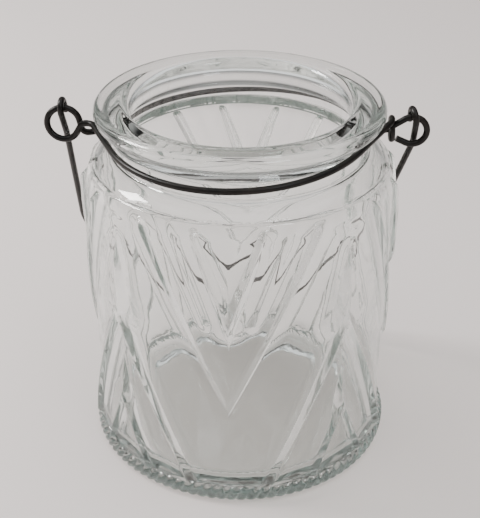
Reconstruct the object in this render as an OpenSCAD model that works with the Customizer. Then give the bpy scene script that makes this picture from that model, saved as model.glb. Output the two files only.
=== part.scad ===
// Hanging glass lantern jar: a moulded glass jar with a chevron relief, a bent wire round its neck
// whose ends interlock on the right, and a wire bail handle that swings on the wire's two ears.
// Units are millimetres. The origin is the centre of the base, +Z is up and -Y is the front.

/* [Jar] */
// Height of the jar from its foot to the top of the lip
jar_h = 112.5; // [108:0.5:125]
// Radius of the plain wall, between the ribs
body_r = 46.1; // [45:0.1:49]
// Thickness of the glass wall
wall = 2.9; // [2:0.1:3.5]
// Thickness of the floor inside the foot
floor_t = 5.2; // [4.5:0.1:8]
// Radius of the fillet between the wall and the floor, inside
floor_fillet = 6; // [4:0.5:12]
// Radius of the shoulder, outside
shoulder_r = 10; // [9:0.5:12]

/* [Neck and lip] */
// Outer radius of the neck, in the groove that holds the wires
neck_r = 38; // [37:0.1:39]
// Thickness of the glass in the neck
neck_wall = 3; // [2:0.1:4]
// Height of the plain neck, from the shoulder to the lip
neck_h = 7; // [6:0.5:10]
// How far the lip stands out from the neck
lip_out = 4.5; // [4:0.1:5]
// Height of the lip's outer edge
lip_h = 5; // [4:0.1:6]
// Radius of the rounding along the lip's outer edges
lip_round = 2.4; // [1:0.1:2.4]
// Radius of the fillet between the lip and the neck
lip_fillet = 2; // [1:0.1:2.4]
// How far the land of the mouth, its narrowest part, stands in from the neck's inside
mouth_in = 2.7; // [1.5:0.1:4]
// Radius of the rounding at the mouth's upper edge
mouth_round = 2.6; // [1:0.1:3]
// Height of the narrow land of the mouth, measured down from the lip
mouth_land = 7.2; // [5:0.1:8]

/* [Foot] */
// Height of the foot, up to the start of the relief
foot_h = 6.2; // [5:0.1:9]
// Radius of the foot where it stands
foot_r = 45; // [43:0.1:46]
// Width of the ring that the jar stands on
bearing_w = 6; // [4:0.5:10]
// Depth of the hollow under the floor
push_up = 1.2; // [0.8:0.1:2]
// Number of slanted beads along the foot
bead_count = 96; // [60:4:120]
// How far the beads stand out from the foot
bead_depth = 0.8; // [0.4:0.1:1]
// Slant of the beads, from their lower to their upper end, in beads
bead_slant = 1; // [0:0.25:1.5]

/* [Chevron relief] */
// Number of repeats of the pattern round the jar
repeats = 4; // [4:1:6]
// How far the ribs stand out from the wall
rib_h = 1.7; // [0.8:0.1:2]
// How far the patterned wall stands out from the plain shoulder
panel_step = 0.35; // [0.3:0.05:0.6]
// Distance of the ribs' rounded top ends below the lip
rib_top_drop = 19.5; // [18:0.5:24]
// Width of the large V's ribs at their top
big_v_w = 3.9; // [2.5:0.1:4.5]
// Width of the large V's ribs at their tip
big_v_tip_w = 1.7; // [1:0.1:3]
// Width of the small V's ribs at their top
small_v_w = 2.8; // [2:0.1:3.5]
// Width of the small V's ribs at their tip, where they form an arrowhead
small_v_tip_w = 5.2; // [3:0.1:6]
// Width of the large peak's ribs
big_peak_w = 4.8; // [3:0.1:5.5]
// Width of the small peak's ribs
small_peak_w = 3.4; // [2.5:0.1:4.5]
// Width of the point above the large peak, where it meets the ribs
big_point_w = 15; // [10:0.5:18]
// Width of the point above the small peak, where it meets the ribs
small_point_w = 7; // [5:0.5:9]
// Reach of the large V at its top, as a share of half a repeat
big_v_reach = 0.72; // [0.68:0.01:0.75]
// Reach of the small V at its top, as a share of half a repeat
small_v_reach = 0.27; // [0.22:0.01:0.32]
// Reach of the large peak at its foot, as a share of half a repeat
big_peak_reach = 0.67; // [0.62:0.01:0.7]
// Reach of the small peak at its foot, as a share of half a repeat
small_peak_reach = 0.27; // [0.22:0.01:0.3]
// Height of the tip of the large V
big_v_tip = 34.3; // [30:0.5:40]
// Height of the tip of the small V
small_v_tip = 63.5; // [60:0.5:68]
// Height of the apex of the large peak
big_peak_apex = 60; // [56:0.5:62]
// Height of the apex of the small peak
small_peak_apex = 29; // [25:0.5:32]
// Height at which the point above the large peak starts
big_point_top = 82; // [78:0.5:85]
// Height at which the point above the small peak starts
small_point_top = 43; // [40:0.5:46]

/* [Wires] */
// Diameter of the wire
wire_d = 1.9; // [1.5:0.1:2.2]
// Gap between the neck and the wires round it
neck_gap = 0.5; // [0.5:0.05:0.7]
// Height of the front wire in front, below the lip's top
front_drop = 10.5; // [10:0.1:11.5]
// Height of the rear wire at the back, below the lip's top
rear_drop = 12.2; // [11.5:0.1:12.6]
// Centre-line radius of the eye at the wire's right end
eye_r = 3; // [3:0.1:3.2]
// Height of the eye's middle, below the lip's top
eye_drop = 8.3; // [8.2:0.1:8.8]
// Distance of the eye from the wire round the neck
eye_out = 4.55; // [4.4:0.05:5]
// How far the wire curls round the eye, in degrees
eye_curl = 300; // [280:5:310]
// Slope of the drop-shaped ear's upper strand, where it leaves the eye, in degrees
drop_slope = 33; // [31:1:35]
// Centre-line radius of the round end of the drop-shaped ear, on the right
drop_r = 4.2; // [4.1:0.05:4.3]
// Distance of the drop-shaped ear's round end from the eye
drop_out = 6.2; // [6:0.1:6.6]
// Centre-line radius of the ring-shaped ear, on the left
ring_r = 4.8; // [4.6:0.1:5]
// Centre-line radius of the twist between the ring and the neck
twist_r = 1.95; // [1.9:0.05:2.1]
// Distance of the twist from the wire round the neck
twist_out = 5.9; // [5.7:0.1:6.3]
// Distance of the ring's middle from the twist's, outwards
ring_out = 7.1; // [7:0.1:7.6]
// Height of the ring's middle above the twist's
ring_rise = 1.2; // [0.8:0.1:1.4]

/* [Handle] */
// Depth of the handle from its pivot to the middle of its bow
handle_depth = 95; // [90:1:105]
// Outward lean of the left arm, in degrees
left_lean = 3.7; // [2:0.1:5]
// Inward lean of the right arm, in degrees
right_lean = 9.5; // [7:0.5:9.5]
// Radius of the bends between the arms and the bottom of the bow
bow_r = 36; // [30:1:38]
// Centre-line radius of the hooks round the ears
hook_r = 2.3; // [2.25:0.05:2.35]
// Turn of the right hook round its leg, in degrees
hook_turn = 16; // [0:1:20]
// Length of the hooks' short legs
hook_tail = 4.5; // [3:0.5:6]
// Length of the hooks' long legs before the arms start
hook_leg = 9; // [7:0.5:12]
// Gap between the resting handle and the ribs at the back of the jar
rest_gap = 0.4; // [0.3:0.1:1]

/* [Hidden] */
$fn = 72;
glass = [0.80, 0.88, 0.85, 0.45];
black = [0.09, 0.08, 0.08];
arc_steps = 7;
wire_r = wire_d / 2;
joint_r = wire_r + 0.03;

// Heights and radii of the jar's sections, from the lip down
lip_z = jar_h - lip_h;
lip_r = neck_r + lip_out;
neck_bore_r = neck_r - neck_wall;
mouth_r = neck_bore_r - mouth_in;
neck_top_z = lip_z - lip_fillet;
neck_z = neck_top_z - neck_h;
core_r = body_r - panel_step;
shoulder_cr = core_r - shoulder_r;
shoulder_z = neck_z - sqrt(pow(shoulder_r, 2) - pow(neck_r - shoulder_cr, 2));
bore_r = body_r - wall;
bore_round = bore_r - shoulder_cr;
land_z = jar_h - mouth_land;

// The patterned panel: its ribs end in round tips of height rib_end_h, just below its upper edge
panel_z = foot_h;
rib_top_z = jar_h - rib_top_drop;
rib_end_h = 2.2;
panel_edge = 1.6;
panel_top_z = rib_top_z + panel_edge;
half_cell = 180 / repeats;

// Half width at which a rib reaches its full height, and height of the points beside the ribs'
full_half = 1.9;
point_share = 0.7;

// How far the pieces of the jar reach into each other before they are joined
overlap = 1;

// The panel's mesh: rings this far from a tip, and columns at least this many degrees apart
near_tip = 1;
least_gap = 0.12;
free = -1;

// The beaded foot, with a plain line between it and the panel. Each row of its mesh holds a share
// of its height, a radius and a share of the beads' depth
groove_h = 0.5;
bead_z = 0.3;
bead_top_z = foot_h - groove_h;
bead_r = body_r + rib_h;
foot_bevel = 0.5;
foot_flare = 0.3;
bead_line = 0.2;
foot_rows = [
    [-0.05, foot_r + foot_flare, 0],
    [0.25, bead_r - bead_depth / 2, 1],
    [0.75, bead_r, 1],
    [1.05, body_r + bead_line, 0]
];

// The wire round the neck. Its front half ends in an eye on the right, and its rear half passes
// through the eye and forms the drop-shaped ear there
collar_r = neck_r + neck_gap + wire_r;
front_z = jar_h - front_drop;
rear_z = jar_h - rear_drop;
eye_x = collar_r + eye_out;
eye_z = jar_h - eye_drop;
eye_back = 0.3;
ear_bend = 5;
leg_bend = 3;
drop_bend = 2;
rise_bend = 1.5;
strand_rise = 0.54;
strand_z = eye_z + strand_rise;
drop_x = eye_x + drop_out;
drop_z = strand_z + drop_out * tan(drop_slope) - drop_r / cos(drop_slope);
drop_back = 24;
end_gap = 0.35;
drop_end = (drop_out - drop_r * sin(drop_back) - wire_r * (1 + sin(drop_back)) - end_gap) / cos(drop_back);
leg_in = 2;
leg_x = eye_x - leg_in;
strand_run = (drop_x - drop_r * sin(drop_slope) - leg_x - rise_bend * sin(drop_slope)) / cos(drop_slope);
leg_z = strand_z - rise_bend * (1 - cos(drop_slope))
    - (eye_x - leg_x - rise_bend * sin(drop_slope)) * tan(drop_slope);
pivot_z = drop_z + drop_r;

// The ring-shaped ear: the wire crosses itself between the ring and the twist, so that each half
// of the ring leans a little, about the upright line through the ring's outermost point
ring_z = pivot_z - ring_r;
twist_z = ring_z - ring_rise;
twist_x = collar_r + twist_out;
ring_gap = norm([ring_out, ring_rise]);
ring_fall = atan(ring_rise / ring_out);
ring_cross = asin((ring_r + twist_r) / ring_gap);
ring_run = sqrt(pow(ring_gap, 2) - pow(ring_r + twist_r, 2));
cross_gap = 0.1;
ring_lean = asin((wire_r + cross_gap / 2) / (ring_r + ring_out * ring_r / (ring_r + twist_r)));
ring_shift = ring_r * sin(ring_lean);
twist_y = (ring_r + ring_out) * sin(ring_lean);
ring_x = twist_x + ring_out * cos(ring_lean);

// Ends of the two halves round the neck, as seen from the middle of each half
front_ends = [[-twist_x, collar_r - twist_y - ring_shift, twist_z + twist_r - front_z],
    [eye_x, collar_r - eye_back, eye_z + eye_r - front_z]];
rear_ends = [[-twist_x, collar_r - twist_y + ring_shift, twist_z - twist_r - rear_z],
    [leg_x, collar_r, leg_z - rear_z]];

// The handle leans on the jar's back. Its right arm leans in and its left arm leans out
arm_bend = 3;
left_arm = (handle_depth - hook_leg - arm_bend * sin(left_lean) - bow_r * (1 + sin(left_lean)))
    / cos(left_lean);
right_arm = (handle_depth - hook_leg - arm_bend * sin(right_lean) - bow_r * (1 - sin(right_lean)))
    / cos(right_lean);
right_hook_r = hook_r / cos(hook_turn);
bow_left = -ring_x - arm_bend * (1 - cos(left_lean)) - left_arm * sin(left_lean) + bow_r * cos(left_lean);
bow_right = drop_x + hook_r * tan(hook_turn) - arm_bend * (1 - cos(right_lean))
    - right_arm * sin(right_lean) - bow_r * cos(right_lean);
rest_y = body_r + rib_h + rest_gap + wire_r;
rest_lean = asin(rest_y / sqrt(pow(handle_depth, 2) + pow(hook_r, 2))) + atan(hook_r / handle_depth);

// A point at angle a from the front, seen from above, at radius r and height z
function polar(r, a, z) = [r * sin(a), -r * cos(a), z];
function mix(a, b, t) = a + (b - a) * t;
// Points of an arc in a profile, from angle a0 to angle a1, round [cx, cy]
function arc(cx, cy, r, a0, a1) =
    [for (i = [0:arc_steps]) let (a = mix(a0, a1, i / arc_steps)) [cx + r * cos(a), cy + r * sin(a)]];

// ---- Jar ----

// Radius of the plain glass under the relief, at height z
function core(z) = z < shoulder_z
    ? core_r
    : shoulder_cr + sqrt(pow(shoulder_r, 2) - pow(z - shoulder_z, 2));

// Angle that a width w takes up on the wall
function span(w) = w / body_r * 180 / PI;

// Share of the way from height a to height b, without limits
function part_of(z, a, b) = (z - a) / (b - a);

// Centre angles of the ribs at height z: V ribs from the V's axis, peak ribs from the peak's axis
function small_v(z) = small_v_reach * half_cell * part_of(z, small_v_tip, rib_top_z);
function big_v(z) = big_v_reach * half_cell * part_of(z, big_v_tip, rib_top_z);
function big_peak(z) = big_peak_reach * half_cell * part_of(z, big_peak_apex, panel_z);
function small_peak(z) = small_peak_reach * half_cell * part_of(z, small_peak_apex, panel_z);

// Half widths of the ribs at height z, as lengths on the wall
function clip(t) = max(0, min(1, t));
function small_v_half(z) = mix(small_v_tip_w, small_v_w, clip(part_of(z, small_v_tip, rib_top_z))) / 2;
function big_v_half(z) = mix(big_v_tip_w, big_v_w, clip(part_of(z, big_v_tip, rib_top_z))) / 2;

// Half width of the point above a peak, from its top down to where the ribs take over
function point_half(z, top, foot, w) = clip(part_of(z, top, foot)) * w / 2;
function big_point(z) = point_half(z, big_point_top, big_peak_apex, big_point_w);
function small_point(z) = point_half(z, small_point_top, small_peak_apex, small_point_w);

// Height of a ridge with half width w, at distance d from its crest; narrow ridges stay low
function ridge(d, w) = w <= 0 ? 0 : rib_h * min(1, w / full_half) * max(0, 1 - abs(d) / w);

// The V ribs end in rounded tips just below the shoulder
function tip_fade(z) = z < rib_top_z - rib_end_h
    ? 1
    : sqrt(clip(part_of(z, rib_top_z, rib_top_z - rib_end_h)));

// Height of the relief at angle u from a V's axis and height z
function relief(u, z) =
    let (s = 1 / span(1), v = half_cell - u)
    max(
        tip_fade(z) * ridge((u - small_v(z)) * s, small_v_half(z)),
        tip_fade(z) * ridge((u - big_v(z)) * s, big_v_half(z)),
        ridge((v - big_peak(z)) * s, big_peak_w / 2),
        ridge((v - small_peak(z)) * s, small_peak_w / 2),
        z > big_peak_apex - big_peak_w ? point_share * ridge(v * s, big_point(z)) : 0,
        z > small_peak_apex - small_peak_w ? point_share * ridge(v * s, small_point(z)) : 0
    );

// Angles at which the mesh of half a repeat has its columns at height z: along crests and feet.
// A column marked free has no place of its own
function raw_columns(z) = [
    0,
    small_v(z) - span(small_v_half(z)),
    small_v(z),
    small_v(z) + span(small_v_half(z)),
    free,
    big_v(z) - span(big_v_half(z)),
    big_v(z),
    big_v(z) + span(big_v_half(z)),
    free,
    free,
    half_cell - max(big_peak(z) + span(big_peak_w / 2), span(big_point(z))),
    half_cell - big_peak(z),
    half_cell - big_peak(z) + span(big_peak_w / 2),
    free,
    half_cell - max(small_peak(z) + span(small_peak_w / 2), span(small_point(z))),
    half_cell - small_peak(z),
    half_cell - small_peak(z) + span(small_peak_w / 2),
    half_cell
];

// Columns whose crest or foot lies beyond an axis at this height stay in order beside it, a least
// gap apart, and the free columns share out the room between their neighbours
function pushed_up(k, i) = i == 0 ? k[0] : max(k[i], pushed_up(k, i - 1) + least_gap);
function pushed_down(k, i) = i == len(k) - 1
    ? k[i]
    : min(pushed_up(k, i), pushed_down(k, i + 1) - least_gap);
function settled(k) = [for (i = [0:len(k) - 1]) k[i] == free ? free : pushed_down(k, i)];
function before(k, i) = k[i] != free ? i : before(k, i - 1);
function after(k, i) = k[i] != free ? i : after(k, i + 1);
function spread(k) = [
    for (i = [0:len(k) - 1])
        let (a = before(k, i), b = after(k, i))
        a == b ? k[i] : mix(k[a], k[b], (i - a) / (b - a))
];

// One ring of the panel: every repeat runs from a V's axis to a peak's axis and back
function panel_ring(z) =
    let (k = spread(settled(raw_columns(z))), n = len(k) - 1, r = core(z) + panel_step)
    [
        for (c = [0:repeats - 1], i = [0:2 * n - 1])
            let (u = i <= n ? k[i] : k[2 * n - i], a = i <= n ? u : 2 * half_cell - u)
            polar(r + relief(u, z), 2 * half_cell * c + a, z)
    ];

// A closed solid from rings of points that lie at rising heights
module stacked_rings(rings) {
    n = len(rings[0]);
    m = len(rings);
    sides = [
        for (j = [0:m - 2], i = [0:n - 1])
            let (a = j * n + i, b = j * n + (i + 1) % n)
            each [[a, a + n, b], [b, a + n, b + n]]
    ];
    polyhedron(
        points = [for (ring = rings) each ring],
        faces = concat([[for (i = [0:n - 1]) i]], sides, [[for (i = [n - 1:-1:0]) (m - 1) * n + i]]),
        convexity = 6
    );
}

// What lies between two heights, with plain flat ends
module between(low, high) {
    intersection() {
        children();
        translate([0, 0, low]) cylinder(h = high - low, r = 2 * body_r);
    }
}

// Height over which the outer edges of a rib close below its tip or above its apex
function closing(w, angle, height) = span(w / 2) * height / angle;

// Heights of the panel's rings, lowest first: wherever a rib starts, turns or ends
function sorted(v) = len(v) == 0 ? [] : concat(
    sorted([for (x = v) if (x < v[0]) x]),
    [v[0]],
    sorted([for (x = v) if (x > v[0]) x])
);
panel_heights = sorted([
    panel_z - overlap,
    mix(panel_z, small_peak_apex, 0.5),
    small_peak_apex - near_tip,
    small_peak_apex,
    big_v_tip - closing(big_v_tip_w, big_v_reach * half_cell, rib_top_z - big_v_tip),
    big_v_tip,
    big_v_tip + near_tip,
    small_point_top,
    mix(small_point_top, small_v_tip, 0.4),
    small_v_tip - closing(small_v_tip_w, small_v_reach * half_cell, rib_top_z - small_v_tip),
    big_peak_apex - near_tip,
    big_peak_apex,
    small_v_tip,
    small_v_tip + near_tip,
    mix(small_v_tip, big_point_top, 0.5),
    big_point_top,
    mix(big_point_top, rib_top_z - rib_end_h, 0.5),
    rib_top_z - rib_end_h,
    rib_top_z - rib_end_h / 3,
    rib_top_z,
    panel_top_z + overlap
]);

module chevron_panel() {
    between(panel_z, panel_top_z) stacked_rings([for (z = panel_heights) panel_ring(z)]);
}

// One ring of the beaded foot: its points lie on the beads and in the grooves by turns
function bead_ring(row) =
    let (n = 2 * bead_count, z = mix(bead_z, bead_top_z, row[0]), turn = 360 / bead_count)
    [for (i = [0:n - 1])
        polar(row[1] - (i % 2) * bead_depth * row[2], (i / 2 + bead_slant * row[0]) * turn, z)];

module beaded_foot() {
    between(bead_z, bead_top_z) stacked_rings([for (row = foot_rows) bead_ring(row)]);
}

// Profile of the plain glass above the panel: shoulder, neck and lip, down to the axis
module top_profile() {
    start = asin((panel_top_z - shoulder_z) / shoulder_r);
    end = acos((neck_r - shoulder_cr) / shoulder_r);
    polygon(concat(
        [[0, panel_top_z - overlap], [core(panel_top_z), panel_top_z - overlap]],
        arc(shoulder_cr, shoulder_z, shoulder_r, start, end),
        arc(neck_r + lip_fillet, neck_top_z, lip_fillet, 180, 90),
        arc(lip_r - lip_round, lip_z + lip_round, lip_round, -90, 0),
        arc(lip_r - lip_round, jar_h - lip_round, lip_round, 0, 90),
        [[0, jar_h]]
    ));
}

// Profile of the plain glass below the panel: the hollow under the floor, and the foot
module foot_profile() {
    bearing_r = foot_r - bearing_w;
    hollow_slope = 4;
    panel_drop = 0.1;
    polygon([
        [0, push_up],
        [bearing_r - hollow_slope * push_up, push_up],
        [bearing_r, 0],
        [foot_r - foot_bevel, 0],
        [foot_r, foot_bevel],
        [core_r, bead_top_z - groove_h],
        [core_r, panel_z - panel_drop],
        [core_r - overlap, panel_z + overlap],
        [0, panel_z + overlap]
    ]);
}

// Profile of the hollow: floor, wall, shoulder, neck and the narrow land of the mouth
module hollow_profile() {
    bore_end = acos((neck_bore_r - shoulder_cr) / bore_round);
    polygon(concat(
        [[0, floor_t]],
        arc(bore_r - floor_fillet, floor_t + floor_fillet, floor_fillet, -90, 0),
        arc(shoulder_cr, shoulder_z, bore_round, 0, bore_end),
        [[neck_bore_r, land_z - mouth_in], [mouth_r, land_z]],
        arc(mouth_r + mouth_round, jar_h - mouth_round, mouth_round, 180, 90),
        [[mouth_r + mouth_round, jar_h + 1], [0, jar_h + 1]]
    ));
}

module jar() color(glass) {
    difference() {
        union() {
            rotate_extrude() top_profile();
            rotate_extrude() foot_profile();
            chevron_panel();
            beaded_foot();
        }
        rotate_extrude() hollow_profile();
    }
}

// ---- Wires ----

// A wire that is bent step by step. It starts at the origin and runs along +Z. Each step is
// [length, 0, roll] for a straight, or [radius, angle, roll] for a bend towards +X, after the
// roll round the wire's own direction. A ball, a hair thicker than the wire, joins the steps.
// Only the steps from first to last are made.
module bent_wire(steps, first = 0, last = 99, i = 0) {
    if (i < len(steps) && i <= last) {
        s = steps[i];
        if (i > first) sphere(r = joint_r, $fn = 24);
        rotate([0, 0, s[2]]) {
            if (i >= first) {
                if (s[1] == 0) cylinder(h = s[0], r = wire_r, $fn = 24);
                else bend(s[0], s[1]);
            }
            if (s[1] == 0) translate([0, 0, s[0]]) bent_wire(steps, first, last, i + 1);
            else
                translate([s[0] * (1 - cos(s[1])), 0, s[0] * sin(s[1])])
                    rotate([0, s[1], 0]) bent_wire(steps, first, last, i + 1);
        }
    }
}

// One bend of a wire from the origin, starting along +Z and turning towards +X
module bend(r, angle) {
    rotate([90, 0, 180]) translate([-r, 0, 0])
        rotate_extrude(angle = angle) translate([r, 0]) circle(r = wire_r, $fn = 24);
}

// The two halves round the neck lie in leaning planes. A plane runs through the middle of its
// half and the two ends: its slopes along X and Y, and an end's place in it
function slopes(ends) =
    let (l = ends[0], r = ends[1], d = l[0] * r[1] - r[0] * l[1])
    [(l[2] * r[1] - r[2] * l[1]) / d, (l[0] * r[2] - r[0] * l[2]) / d];
function lean_x(ends) = atan(slopes(ends)[0]);
function lean_y(ends) = atan(slopes(ends)[1] * cos(lean_x(ends)));
function in_plane(ends, p) =
    let (a = lean_x(ends), b = lean_y(ends))
    [
        abs(p[0] * cos(a) + p[2] * sin(a)),
        p[1] * cos(b) + (p[2] * cos(a) - p[0] * sin(a)) * sin(b) - collar_r
    ];

// Steps from the middle of a half, round the neck and straight on to a last bend with centre c.
// The last bend goes on round the neck up to a right angle, or turns outwards
function round_neck(c, s) =
    let (run = sqrt(pow(norm(c), 2) - pow(s, 2)), turn = atan2(c[1], c[0]) + 90 - atan2(run, s))
    [[collar_r, turn, 0], [run, 0, 0], turn];
function to_eye(p) =
    let (k = round_neck([p[0] - ear_bend, p[1]], collar_r - ear_bend))
    [k[0], k[1], [ear_bend, 90 - k[2], 0]];
function to_leg(p, r) =
    let (k = round_neck([p[0], p[1] - r], collar_r + r))
    [k[0], k[1], [r, k[2], 180]];

// Puts what starts at the middle of a half round the neck in its leaning plane, at height z
module in_half(ends, z) {
    translate([0, -collar_r, z]) rotate([lean_y(ends), -lean_x(ends), 0]) children();
}

// The ring-shaped ear, from its outermost point: the lower half of the ring up to the top of the
// twist, and the upper half down to the foot of the twist
module ring_ear() {
    low = [
        [ring_r, 90 + ring_cross - ring_fall, 0],
        [ring_run, 0, 0],
        [twist_r, ring_cross - ring_fall, 180]
    ];
    high = [
        [ring_r, 90 + ring_cross + ring_fall, 0],
        [ring_run, 0, 0],
        [twist_r, ring_cross + ring_fall, 180]
    ];
    translate([-twist_x - (ring_r + ring_out) * cos(ring_lean), -ring_shift, ring_z]) {
        sphere(r = joint_r, $fn = 24);
        rotate([0, 0, -ring_lean]) mirror([0, 0, 1]) bent_wire(low);
        rotate([0, 0, ring_lean]) bent_wire(high);
    }
    translate([-twist_x, -twist_y - ring_shift, twist_z + twist_r]) rotate([0, 90, 0])
        sphere(r = joint_r, $fn = 24);
    translate([-twist_x, twist_y - ring_shift, twist_z - twist_r]) rotate([0, 90, 0])
        sphere(r = joint_r, $fn = 24);
}

// Steps of the rear half's left side, which meets the foot of the twist in a last bend
rear_left = to_leg(in_plane(rear_ends, rear_ends[0]), leg_bend);

// The front half of the neck wire, with the eye on the right and the ring on the left. It goes on
// behind the ring up to the straight of the rear half
module front_neck_wire() color(black) {
    left = to_leg(in_plane(front_ends, front_ends[0]), leg_bend);
    right = concat(to_eye(in_plane(front_ends, front_ends[1])), [[eye_r, eye_curl, -90]]);
    in_half(front_ends, front_z) {
        rotate([90, 0, 90]) bent_wire(right);
        mirror([1, 0, 0]) rotate([90, 0, 90]) bent_wire(left);
    }
    ring_ear();
    mirror([0, 1, 0]) in_half(rear_ends, rear_z)
        mirror([1, 0, 0]) rotate([90, 0, 90]) bent_wire(rear_left, first = 2);
}

// The rear half of the neck wire, whose right end passes through the eye and forms the drop
module rear_neck_wire() color(black) {
    rise = drop_slope - lean_x(rear_ends);
    right = concat(to_leg(in_plane(rear_ends, rear_ends[1]), drop_bend), [
        [rise_bend, rise, -90 - lean_y(rear_ends)],
        [strand_run, 0, 0],
        [drop_r, 180 + drop_slope + drop_back, 180],
        [drop_end, 0, 0]
    ]);
    mirror([0, 1, 0]) in_half(rear_ends, rear_z) {
        rotate([90, 0, 90]) bent_wire(right);
        mirror([1, 0, 0]) rotate([90, 0, 90]) bent_wire(rear_left, last = 1);
    }
}

// The bail handle, bent from one wire: hook, arm, bow, arm, hook
module bail_handle() color(black) {
    steps = [
        [hook_tail, 0, 0],
        [hook_r, 180, 0],
        [hook_leg, 0, 0],
        [arm_bend, left_lean, -90],
        [left_arm, 0, 0],
        [bow_r, 90 + left_lean, 180],
        [bow_right - bow_left, 0, 0],
        [bow_r, 90 - right_lean, 0],
        [right_arm, 0, 0],
        [arm_bend, right_lean, 0],
        [hook_leg, 0, 0],
        [right_hook_r, 180, hook_turn - 90],
        [hook_tail, 0, 0]
    ];
    translate([0, 0, pivot_z]) rotate([rest_lean, 0, 0])
        translate([-ring_x, hook_r, -hook_tail]) rotate([0, 0, -90]) bent_wire(steps);
}

jar();
front_neck_wire();
rear_neck_wire();
bail_handle();
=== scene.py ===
import math

import bpy
import numpy as np
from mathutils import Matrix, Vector


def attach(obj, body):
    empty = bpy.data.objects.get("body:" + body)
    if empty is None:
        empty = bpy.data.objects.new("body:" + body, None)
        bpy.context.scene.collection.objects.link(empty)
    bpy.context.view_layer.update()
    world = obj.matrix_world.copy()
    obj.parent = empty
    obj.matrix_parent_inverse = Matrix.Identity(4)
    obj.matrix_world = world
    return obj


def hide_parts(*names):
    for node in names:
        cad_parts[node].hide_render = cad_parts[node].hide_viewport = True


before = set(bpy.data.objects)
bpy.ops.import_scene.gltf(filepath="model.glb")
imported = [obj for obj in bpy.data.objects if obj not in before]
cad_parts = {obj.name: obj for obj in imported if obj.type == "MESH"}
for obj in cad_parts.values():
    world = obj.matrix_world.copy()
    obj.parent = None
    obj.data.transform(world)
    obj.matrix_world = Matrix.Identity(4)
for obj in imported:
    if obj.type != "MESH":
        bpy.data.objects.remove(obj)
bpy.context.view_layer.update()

MM = 0.001

# ---------------------------------------------------------------- sizes, in mm, as in part.scad
JAR_H, BODY_R, WALL, FLOOR_T, FLOOR_FILLET, SHOULDER_R = 112.5, 46.1, 2.9, 5.2, 6.0, 10.0
NECK_R, NECK_BORE_R, NECK_H, LIP_R, LIP_H, LIP_ROUND = 38.0, 35.0, 7.0, 42.5, 5.0, 2.4
LIP_FILLET, MOUTH_R, MOUTH_ROUND, MOUTH_LAND = 2.0, 32.3, 2.6, 7.2
FOOT_H, FOOT_R, BEARING_W, PUSH_UP = 6.2, 45.0, 6.0, 1.2
BEADS, BEAD_DEPTH, BEAD_SLANT = 96, 0.8, 1.0
REPEATS, RIB_H, PANEL_STEP, RIB_TOP_DROP = 4, 1.7, 0.35, 19.5
BIG_V_W, BIG_V_TIP_W, SMALL_V_W, SMALL_V_TIP_W = 3.9, 1.7, 2.8, 5.2
BIG_PEAK_W, SMALL_PEAK_W, BIG_POINT_W, SMALL_POINT_W = 4.8, 3.4, 15.0, 7.0
BIG_V_REACH, SMALL_V_REACH, BIG_PEAK_REACH, SMALL_PEAK_REACH = 0.72, 0.27, 0.67, 0.27
BIG_V_TIP, SMALL_V_TIP, BIG_PEAK_APEX, SMALL_PEAK_APEX = 34.3, 63.5, 60.0, 29.0
BIG_POINT_TOP, SMALL_POINT_TOP = 82.0, 43.0
FULL_HALF, POINT_SHARE, RIB_END_H, PANEL_EDGE = 1.9, 0.7, 2.2, 1.6

LIP_Z = JAR_H - LIP_H
NECK_TOP_Z = LIP_Z - LIP_FILLET
NECK_Z = NECK_TOP_Z - NECK_H
CORE_R = BODY_R - PANEL_STEP
SHOULDER_CR = CORE_R - SHOULDER_R
SHOULDER_Z = NECK_Z - math.sqrt(SHOULDER_R**2 - (NECK_R - SHOULDER_CR) ** 2)
BORE_R = BODY_R - WALL
BORE_ROUND = BORE_R - SHOULDER_CR
LAND_Z = JAR_H - MOUTH_LAND
PANEL_Z = FOOT_H
RIB_TOP_Z = JAR_H - RIB_TOP_DROP
PANEL_TOP_Z = RIB_TOP_Z + PANEL_EDGE
HALF = 180 / REPEATS  # half a repeat of the relief, in degrees
BEAD_Z, BEAD_TOP_Z = 0.3, FOOT_H - 0.5


# ---------------------------------------------------------------- the chevron relief
def span(w):
    """Angle in degrees that the length w takes up along the jar's skin."""
    return math.degrees(w / BODY_R)


MM_PER_DEG = 1 / span(1)  # along the jar's skin


def part_of(z, a, b):
    """How far z has come from a to b: 0 at a and 1 at b."""
    return (z - a) / (b - a)


def clip(t):
    return max(0.0, min(1.0, t))


def small_v(z):
    return SMALL_V_REACH * HALF * part_of(z, SMALL_V_TIP, RIB_TOP_Z)


def big_v(z):
    return BIG_V_REACH * HALF * part_of(z, BIG_V_TIP, RIB_TOP_Z)


def big_peak(z):
    return BIG_PEAK_REACH * HALF * part_of(z, BIG_PEAK_APEX, PANEL_Z)


def small_peak(z):
    return SMALL_PEAK_REACH * HALF * part_of(z, SMALL_PEAK_APEX, PANEL_Z)


def small_v_half(z):
    t = clip(part_of(z, SMALL_V_TIP, RIB_TOP_Z))
    return (SMALL_V_TIP_W + (SMALL_V_W - SMALL_V_TIP_W) * t) / 2


def big_v_half(z):
    t = clip(part_of(z, BIG_V_TIP, RIB_TOP_Z))
    return (BIG_V_TIP_W + (BIG_V_W - BIG_V_TIP_W) * t) / 2


def point_half(z, top, foot, w):
    return clip(part_of(z, top, foot)) * w / 2


def big_point_half(z):
    return point_half(z, BIG_POINT_TOP, BIG_PEAK_APEX, BIG_POINT_W)


def small_point_half(z):
    return point_half(z, SMALL_POINT_TOP, SMALL_PEAK_APEX, SMALL_POINT_W)


SOFT = 0.16  # share of a flank that is rounded at its foot and at its crest


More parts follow.
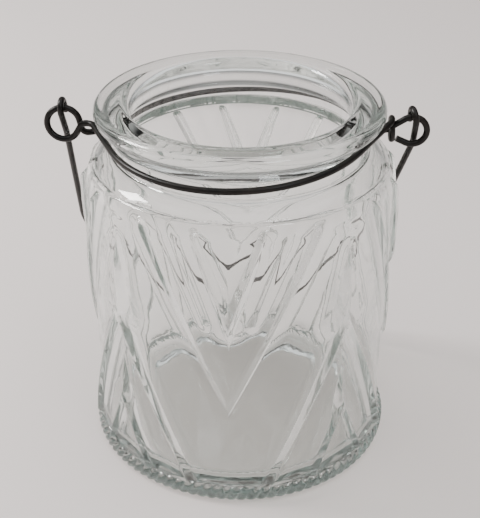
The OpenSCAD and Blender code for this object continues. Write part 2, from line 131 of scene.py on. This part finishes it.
def ridge(d, w):
    """Height of a ridge of half width w, with a soft crest and foot, at distances d from its crest."""
    if w <= 0:
        return np.zeros_like(d)
    x = np.clip(1 - np.abs(d) / w, 0, 1)
    low = x * x / (2 * SOFT)
    high = 1 - SOFT - (1 - x) ** 2 / (2 * SOFT)
    f = np.where(x < SOFT, low, np.where(x > 1 - SOFT, high, x - SOFT / 2))
    return RIB_H * min(1.0, w / FULL_HALF) * f / (1 - SOFT)


def relief(u, z):
    """Height of the relief at the angles u from a V's axis, at height z."""
    v = HALF - u
    fade = math.sqrt(clip(part_of(z, RIB_TOP_Z, RIB_TOP_Z - RIB_END_H)))
    ribs = [
        fade * ridge((u - small_v(z)) * MM_PER_DEG, small_v_half(z)),
        fade * ridge((u - big_v(z)) * MM_PER_DEG, big_v_half(z)),
        ridge((v - big_peak(z)) * MM_PER_DEG, BIG_PEAK_W / 2),
        ridge((v - small_peak(z)) * MM_PER_DEG, SMALL_PEAK_W / 2),
    ]
    if z > BIG_PEAK_APEX - BIG_PEAK_W:
        ribs.append(POINT_SHARE * ridge(v * MM_PER_DEG, big_point_half(z)))
    if z > SMALL_PEAK_APEX - SMALL_PEAK_W:
        ribs.append(POINT_SHARE * ridge(v * MM_PER_DEG, small_point_half(z)))
    return np.max(ribs, axis=0) - hollow(u, v, z)


# depth of the hollow panels, how far their slope reaches from a rib, and how fast they start at
# the panel's upper and lower edges
HOLLOW, HOLLOW_W, HOLLOW_RUN = 0.6, 4.2, 4


def off_line(x, z, z0, z1, x1):
    """Distances of the points x at height z from the line that runs from (0, z0) to (x1, z1)."""
    t = np.clip((x * x1 + (z - z0) * (z1 - z0)) / (x1 * x1 + (z1 - z0) ** 2), 0, 1)
    return np.hypot(x - t * x1, z - z0 - t * (z1 - z0))


def fold(z):
    """Angle of the fold halfway between the feet of the small and the large V's ribs."""
    return (small_v(z) + span(small_v_half(z)) + big_v(z) - span(big_v_half(z))) / 2


def hollow(u, v, z):
    """Depth of the panels, each hollowed like a shallow flute between the ribs and folds round it."""
    x, y, full = u * MM_PER_DEG, v * MM_PER_DEG, HALF * MM_PER_DEG
    fold_z = max(z, SMALL_V_TIP)
    off = [
        off_line(x, z, SMALL_V_TIP, RIB_TOP_Z, SMALL_V_REACH * full) - small_v_half(z),
        off_line(x, z, BIG_V_TIP, RIB_TOP_Z, BIG_V_REACH * full) - big_v_half(z),
        off_line(y, z, BIG_PEAK_APEX, PANEL_Z, BIG_PEAK_REACH * full) - BIG_PEAK_W / 2,
        off_line(y, z, SMALL_PEAK_APEX, PANEL_Z, SMALL_PEAK_REACH * full) - SMALL_PEAK_W / 2,
        off_line(y, z, BIG_PEAK_APEX, BIG_POINT_TOP, 0) - big_point_half(z),
        np.hypot(x - fold(fold_z) * MM_PER_DEG, z - fold_z),
    ]
    near = 1 - np.clip(np.min(off, axis=0), 0, HOLLOW_W) / HOLLOW_W
    lower = clip(part_of(z, PANEL_Z, PANEL_Z + HOLLOW_RUN))
    upper = clip(part_of(z, PANEL_TOP_Z, PANEL_TOP_Z - HOLLOW_RUN))
    return HOLLOW * lower * upper * (1 - near**2)


FREE = None  # a place in the list of crests and feet that lies evenly between its neighbours
LEAST = 0.1  # least angle between two neighbours in that list
# how many columns lie in each interval between crests and feet; flanks get rounded ends
COUNTS = (8, 6, 6, 6, 6, 6, 6, 5, 5, 5, 8, 6, 4, 4, 6, 6, 3)
FLANKS = {1, 2, 5, 6, 11, 14, 15}
FLANK_T = (0, 0.08, 0.2, 0.5, 0.8, 0.92)


def columns(z):
    """Angles of the mesh's columns in half a repeat at height z: they follow the crests and feet."""
    # crests of the Vs and peaks, then half widths of them and of the points above the peaks
    sv, bv, bp, sp = small_v(z), big_v(z), big_peak(z), small_peak(z)
    svh, bvh = span(small_v_half(z)), span(big_v_half(z))
    bph, sph = span(BIG_PEAK_W / 2), span(SMALL_PEAK_W / 2)
    bpt, spt = span(big_point_half(z)), span(small_point_half(z))
    k = [0, sv - svh, sv, sv + svh, FREE, bv - bvh, bv, bv + bvh, FREE, FREE,
         HALF - max(bp + bph, bpt), HALF - bp, HALF - bp + bph, FREE,
         HALF - max(sp + sph, spt), HALF - sp, HALF - sp + sph, HALF]
    n = len(k) - 1
    k = [x if x is FREE else max(LEAST * i, min(HALF - LEAST * (n - i), x)) for i, x in enumerate(k)]
    for i, x in enumerate(k):
        if x is FREE:
            fixed = next(j for j in range(i, n + 1) if k[j] is not FREE)
            k[i] = k[i - 1] + (k[fixed] - k[i - 1]) / (fixed - i + 1)
    out = []
    for i, count in enumerate(COUNTS):
        shares = FLANK_T if i in FLANKS else [j / count for j in range(count)]
        out += [k[i] + (k[i + 1] - k[i]) * t for t in shares]
    return np.array(out + [HALF])


# ---------------------------------------------------------------- the jar's mesh
NCOL = 2 * REPEATS * sum(COUNTS)  # columns round the jar
EVEN = np.arange(NCOL) * 360 / NCOL  # their angles where the jar is plain


def arc(cx, cy, r, a0, a1, n):
    """Points in n steps along the arc of radius r round (cx, cy), from a0 to a1 degrees."""
    a = np.radians(np.linspace(a0, a1, n + 1))
    return [(cx + r * math.cos(x), cy + r * math.sin(x)) for x in a]


def ring(r, theta, z):
    """Points at the radii r and the angles theta from the front, at height z."""
    a = np.radians(theta)
    return np.stack([r * np.sin(a), -r * np.cos(a), np.full_like(a, z)], axis=1)


# heights over which the panel's upper edge and the line above the beads run out, and its depth
EDGE_RUN, LINE_RUN, LINE_DEPTH = 0.35, 0.6, 0.25


def panel_row(z):
    """The ring at height z of the body, with the relief; each V is mirrored about its axis."""
    k = columns(z)
    h = relief(k, z)
    r0 = CORE_R if z < SHOULDER_Z else SHOULDER_CR + math.sqrt(SHOULDER_R**2 - (z - SHOULDER_Z) ** 2)
    # the panel's upper edge runs out into the plain shoulder in a soft step
    step = PANEL_STEP * (1 - clip(part_of(z, PANEL_TOP_Z - EDGE_RUN, PANEL_TOP_Z)) ** 2)
    # and its lower edge falls into the line above the beads
    step -= LINE_DEPTH * (1 - clip(part_of(z, PANEL_Z, PANEL_Z + LINE_RUN))) ** 2
    theta, rad = [], []
    for c in range(REPEATS):
        theta += [k[:-1] + 2 * HALF * c, 2 * HALF * (c + 1) - k[:0:-1]]
        rad += [r0 + step + h[:-1], r0 + step + h[:0:-1]]
    return ring(np.concatenate(rad), np.concatenate(theta), z)


# the foot's radius under the beads, at these shares of their height
FOOT_SHARES = (0, 0.12, 0.3, 0.7, 0.9, 1)
FOOT_RADII = (44.9, 45.9, 46.55, 46.75, 46.4, 45.95)
BEAD_CROWN = BEAD_DEPTH + 0.2  # a bead's height, with its rounded crown
BEAD_FULL = 0.8  # below 1 makes the beads' backs fuller than a cosine
BEAD_ROWS = 15  # rings over the beads' height


def bead_row(s):
    """The ring at the share s of the beads' height; the beads swell and slant from foot to top."""
    z = BEAD_Z + (BEAD_TOP_Z - BEAD_Z) * s
    base = np.interp(s, FOOT_SHARES, FOOT_RADII)
    # both ends of a bead are blunt, at about a third of its height
    swell = math.sqrt(max(0.0, math.sin(math.pi * (0.04 + 0.92 * s))))
    phase = np.radians(EVEN * BEADS) / 2 - math.pi * BEAD_SLANT * s
    return ring(base + BEAD_CROWN * swell * np.abs(np.cos(phase)) ** BEAD_FULL, EVEN, z)


# steps between the relief's rows, on the ribs and at their round ends, and the least step
ROW_STEP, END_STEP, LEAST_STEP = 1.0, 0.3, 0.09


def panel_heights():
    """Heights of the relief's rows: even steps, closer at the ribs' round ends and at every tip."""
    ends = RIB_TOP_Z - RIB_END_H
    zs = list(np.arange(PANEL_Z, ends, ROW_STEP)) + list(np.arange(ends, PANEL_TOP_Z, END_STEP))
    zs += [PANEL_Z + 0.2, PANEL_Z + 0.4, PANEL_Z + 0.6, PANEL_TOP_Z - 0.2, PANEL_TOP_Z]
    for key in (BIG_V_TIP, SMALL_V_TIP, BIG_PEAK_APEX, SMALL_PEAK_APEX, BIG_POINT_TOP, SMALL_POINT_TOP):
        zs += [key + d for d in (-0.5, -0.2, 0, 0.2, 0.5)]
    zs = sorted(zs)
    return [z for i, z in enumerate(zs) if i == 0 or z - zs[i - 1] > LEAST_STEP]


# soft corners of the outline, as steps outwards and upwards from each corner
UNDER_CORNER = ((-9, 0), (-0.6, 0), (0.4, -0.1))
STAND_INNER = ((-0.5, 0.12), (0, 0.02), (0.5, 0))
STAND_OUTER = ((-1.1, 0), (-0.5, 0.05), (-0.2, 0.17))
NECK_FOOT = ((0.75, -0.12), (0.3, 0.1), (0.05, 0.5), (0, 1))
LAND_CORNER = ((0, 0.6), (0.12, 0.12), (0.5, -0.4))
BORE_CORNER = ((-0.5, 0.6), (-0.1, 0), (0, -0.6))
BORE_FOOT = ((0, 0.8), (0.1, 0.2))


def corner(r, z, steps):
    return [(r + out, z + up) for out, up in steps]


def jar_rows():
    """Rings of points along the jar's skin, from under the floor, up outside and down inside."""
    rows = []

    def plain(points):
        for r, z in points:
            rows.append(ring(np.full(NCOL, r), EVEN, z))

    # the hollow under the floor, and the ring that the jar stands on
    stand = FOOT_R - BEARING_W
    plain(corner(stand - 4 * PUSH_UP, PUSH_UP, UNDER_CORNER))
    plain(corner(stand, 0, STAND_INNER))
    plain(corner(FOOT_R, 0, STAND_OUTER))
    rows.extend(bead_row(s) for s in np.linspace(0, 1, BEAD_ROWS))
    rows.extend(panel_row(z) for z in panel_heights())
    # the shoulder, with a small fillet where it runs into the neck
    start = math.degrees(math.asin((PANEL_TOP_Z + 0.1 - SHOULDER_Z) / SHOULDER_R))
    end = math.degrees(math.acos((NECK_R - SHOULDER_CR) / SHOULDER_R))
    plain(arc(SHOULDER_CR, SHOULDER_Z, SHOULDER_R, start, end - 8, 7))
    plain(corner(NECK_R, NECK_Z, NECK_FOOT))
    # the rolled lip and the land of the mouth
    plain(arc(NECK_R + LIP_FILLET, NECK_TOP_Z, LIP_FILLET, 180, 90, 6))
    plain(arc(LIP_R - LIP_ROUND, LIP_Z + LIP_ROUND, LIP_ROUND, -90, 0, 9))
    plain(arc(LIP_R - LIP_ROUND, JAR_H - LIP_ROUND, LIP_ROUND, 0, 90, 9))
    plain(arc(MOUTH_R + MOUTH_ROUND, JAR_H - MOUTH_ROUND, MOUTH_ROUND, 90, 180, 9))
    plain(corner(MOUTH_R, LAND_Z, LAND_CORNER))
    # the neck's inside, below the slope under the land
    plain(corner(NECK_BORE_R, LAND_Z - (NECK_BORE_R - MOUTH_R), BORE_CORNER))
    reach = NECK_BORE_R - SHOULDER_CR
    end = math.degrees(math.acos(reach / BORE_ROUND)) if reach > 0 else 90.0
    plain(corner(NECK_BORE_R, SHOULDER_Z + math.sqrt(BORE_ROUND**2 - reach**2), BORE_FOOT))
    # the shoulder, wall and floor, inside
    plain(arc(SHOULDER_CR, SHOULDER_Z, BORE_ROUND, min(end, 90) - 4, 0, 10))
    plain([(BORE_R, z) for z in np.linspace(SHOULDER_Z - 6, FLOOR_T + FLOOR_FILLET + 4, 10)])
    plain(arc(BORE_R - FLOOR_FILLET, FLOOR_T + FLOOR_FILLET, FLOOR_FILLET, 0, -90, 9))
    plain([(BORE_R - FLOOR_FILLET - 6, FLOOR_T), (10, FLOOR_T)])
    return rows


def grid_mesh(name, rows, low, high):
    """A closed mesh from rings of points and a point on the axis before and after them."""
    n, m = len(rows[0]), len(rows)  # points in a ring, and rings
    verts = np.concatenate(rows + [np.array([[0, 0, low], [0, 0, high]])]) * MM
    i = np.arange(n)
    j = (i + 1) % n
    square = np.stack([i, j, n + j, n + i], axis=1)
    quads = np.concatenate([a * n + square for a in range(m - 1)])
    first = np.stack([np.full(n, m * n), j, i], axis=1)
    last = np.stack([np.full(n, m * n + 1), (m - 1) * n + i, (m - 1) * n + j], axis=1)
    mesh = bpy.data.meshes.new(name)
    mesh.from_pydata(verts.tolist(), [], quads.tolist() + first.tolist() + last.tolist())
    mesh.update()
    mesh.shade_smooth()
    return mesh


def place(name, mesh, body, material):
    obj = bpy.data.objects.new(name, mesh)
    bpy.context.collection.objects.link(obj)
    mesh.materials.append(material)
    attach(obj, body)
    return obj


# ---------------------------------------------------------------- materials
def new_material(name):
    m = bpy.data.materials.new(name)
    m.use_nodes = True
    m.node_tree.nodes.clear()
    return m, m.node_tree.nodes, m.node_tree.links


def add(nodes, kind, values=None):
    """A shader node of this kind, with these values in its inputs."""
    node = nodes.new("ShaderNode" + kind)
    for name, value in (values or {}).items():
        node.inputs[name].default_value = value
    return node


def noise(nodes, scale, detail):
    return add(nodes, "TexNoise", {"Scale": scale, "Detail": detail})


def bump(nodes, strength, distance):
    return add(nodes, "Bump", {"Strength": strength, "Distance": distance})


def glass_material():
    m, nodes, links = new_material("clear_moulded_glass")
    out = add(nodes, "OutputMaterial")
    glass = add(nodes, "BsdfPrincipled", {"Base Color": (0.985, 0.995, 0.99, 1), "Roughness": 0.0})
    glass.inputs["IOR"].default_value = 1.5
    glass.inputs["Transmission Weight"].default_value = 1.0
    # the slow waves and the fine grain of moulded glass
    where = add(nodes, "TexCoord")
    wave = noise(nodes, 90, 1)
    fine = noise(nodes, 420, 2)
    wave_bump = bump(nodes, 0.35, 0.0006)
    fine_bump = bump(nodes, 0.1, 0.0001)
    links.new(where.outputs["Object"], wave.inputs["Vector"])
    links.new(where.outputs["Object"], fine.inputs["Vector"])
    links.new(wave.outputs["Fac"], wave_bump.inputs["Height"])
    links.new(fine.outputs["Fac"], fine_bump.inputs["Height"])
    links.new(wave_bump.outputs["Normal"], fine_bump.inputs["Normal"])
    links.new(fine_bump.outputs["Normal"], glass.inputs["Normal"])
    # lamps reach what stands behind the glass, a little dimmed
    clear = add(nodes, "BsdfTransparent", {"Color": (0.94, 0.94, 0.935, 1)})
    path = add(nodes, "LightPath")
    mix = add(nodes, "MixShader")
    links.new(path.outputs["Is Shadow Ray"], mix.inputs["Fac"])
    links.new(glass.outputs["BSDF"], mix.inputs[1])
    links.new(clear.outputs["BSDF"], mix.inputs[2])
    links.new(mix.outputs["Shader"], out.inputs["Surface"])
    # thick glass looks darker and greener
    tint = add(nodes, "VolumeAbsorption", {"Color": (0.58, 0.67, 0.64, 1), "Density": 21})
    links.new(tint.outputs["Volume"], out.inputs["Volume"])
    return m


def wire_material():
    m, nodes, links = new_material("black_lacquered_wire")
    out = add(nodes, "OutputMaterial")
    paint = add(nodes, "BsdfPrincipled", {"Metallic": 0.0, "Specular IOR Level": 0.22})
    paint.inputs["Coat Weight"].default_value = 0.08
    paint.inputs["Coat Roughness"].default_value = 0.25
    # patches where the lacquer is browner and duller
    where = add(nodes, "TexCoord")
    patch = noise(nodes, 140, 4)
    shade = add(nodes, "ValToRGB")
    black, brown = shade.color_ramp.elements
    black.position, black.color = 0.35, (0.005, 0.0045, 0.004, 1)
    brown.position, brown.color = 0.72, (0.016, 0.012, 0.010, 1)
    grain = noise(nodes, 900, 3)
    rough = add(nodes, "MapRange", {"To Min": 0.28, "To Max": 0.5})
    grain_bump = bump(nodes, 0.25, 0.00008)
    links.new(where.outputs["Object"], patch.inputs["Vector"])
    links.new(where.outputs["Object"], grain.inputs["Vector"])
    links.new(patch.outputs["Fac"], shade.inputs["Fac"])
    links.new(shade.outputs["Color"], paint.inputs["Base Color"])
    links.new(patch.outputs["Fac"], rough.inputs["Value"])
    links.new(rough.outputs["Result"], paint.inputs["Roughness"])
    links.new(grain.outputs["Fac"], grain_bump.inputs["Height"])
    links.new(grain_bump.outputs["Normal"], paint.inputs["Normal"])
    links.new(paint.outputs["BSDF"], out.inputs["Surface"])
    return m


def floor_material():
    m, nodes, links = new_material("pale_floor")
    out = add(nodes, "OutputMaterial")
    cloth = add(nodes, "BsdfPrincipled", {"Base Color": (0.84, 0.77, 0.745, 1), "Roughness": 0.8})
    links.new(cloth.outputs["BSDF"], out.inputs["Surface"])
    return m


GLASS = glass_material()
WIRE = wire_material()

jar_mesh = grid_mesh("glass_jar", jar_rows(), PUSH_UP, FLOOR_T)
jar = place("glass_jar", jar_mesh, "jar_body", GLASS)
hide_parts("jar")

for node in ("front_neck_wire", "rear_neck_wire", "bail_handle"):
    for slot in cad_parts[node].material_slots:
        slot.material = WIRE

# ---------------------------------------------------------------- floor, light and camera
FLOOR_HALF = 4  # half of the floor's side, in m
FLOOR_GAP = 0.00005  # the floor lies this much below the jar's foot


def pale_floor():
    a = FLOOR_HALF
    mesh = bpy.data.meshes.new("floor")
    mesh.from_pydata([(-a, -a, 0), (a, -a, 0), (a, a, 0), (-a, a, 0)], [], [(0, 1, 2, 3)])
    mesh.materials.append(floor_material())
    floor = bpy.data.objects.new("floor", mesh)
    bpy.context.collection.objects.link(floor)
    floor.location.z = -FLOOR_GAP


LIT_POINT = Vector((0, 0, 0.05))  # near the jar's middle


def area_light(name, place_at, size, power, colour):
    """A lamp at place_at that shines on the jar's middle."""
    data = bpy.data.lights.new(name, "AREA")
    data.shape = "RECTANGLE"
    data.size, data.size_y = size
    data.energy = power
    data.color = colour
    lamp = bpy.data.objects.new(name, data)
    bpy.context.collection.objects.link(lamp)
    lamp.location = place_at
    lamp.rotation_euler = (LIT_POINT - Vector(place_at)).to_track_quat("-Z", "Y").to_euler()


# brightness of the sky at the horizon and overhead, and between them at the sines of their
# heights: the dark band gives the ribs and the lip their dark edges
HORIZON, OVERHEAD, OVERHEAD_AT = (0.62, 0.60, 0.59, 1), (1.5, 1.5, 1.52, 1), 0.8
BANDS = ((0.13, 0.36), (0.24, 0.03), (0.62, 0.02))


def studio_world():
    world = bpy.data.worlds.new("studio")
    bpy.context.scene.world = world
    world.use_nodes = True
    nodes, links = world.node_tree.nodes, world.node_tree.links
    nodes.clear()
    out = add(nodes, "OutputWorld")
    sky = add(nodes, "Background", {"Strength": 0.9})
    coord = add(nodes, "TexCoord")
    split = add(nodes, "SeparateXYZ")
    grad = add(nodes, "ValToRGB")
    ramp = grad.color_ramp.elements
    ramp[0].position, ramp[0].color = 0.0, HORIZON
    ramp[1].position, ramp[1].color = OVERHEAD_AT, OVERHEAD
    for height, grey in BANDS:
        ramp.new(height).color = (grey, grey * 0.98, grey * 0.96, 1)
    links.new(coord.outputs["Generated"], split.inputs["Vector"])
    links.new(split.outputs["Z"], grad.inputs["Fac"])
    links.new(grad.outputs["Color"], sky.inputs["Color"])
    links.new(sky.outputs["Background"], out.inputs["Surface"])


# the photo's focal length and height in pixels, and the width of the camera's sensor in mm
FOCAL_PX, PHOTO_PX, SENSOR = 1100, 518, 36
# the camera's place in m, and how far it looks down (radians) and is turned (degrees)
CAMERA_AT, LOOK_DOWN, TURN = (0.02077, -0.29708, 0.23297), 0.53, 4


def photo_camera():
    data = bpy.data.cameras.new("camera")
    data.lens = FOCAL_PX / PHOTO_PX * SENSOR
    data.sensor_width = SENSOR
    data.clip_start = 0.01
    camera = bpy.data.objects.new("camera", data)
    bpy.context.collection.objects.link(camera)
    camera.location = CAMERA_AT
    camera.rotation_euler = (math.pi / 2 - LOOK_DOWN, 0, math.radians(TURN))
    bpy.context.scene.camera = camera


LIGHT_BOUNCES = 40  # light passes many walls and ribs of glass before it leaves

pale_floor()
area_light("key", (-0.85, 0.12, 0.75), (0.26, 0.34), 15, (1, 0.985, 0.96))
area_light("fill", (0.55, -0.75, 0.9), (0.3, 0.3), 3, (0.97, 0.98, 1))
studio_world()
photo_camera()

cycles = bpy.context.scene.cycles
for limit in ("max_bounces", "transmission_bounces", "glossy_bounces", "transparent_max_bounces"):
    setattr(cycles, limit, LIGHT_BOUNCES)
# the glass's shadow comes from the shadow rays alone, so lamps don't light the floor twice
cycles.caustics_refractive = False
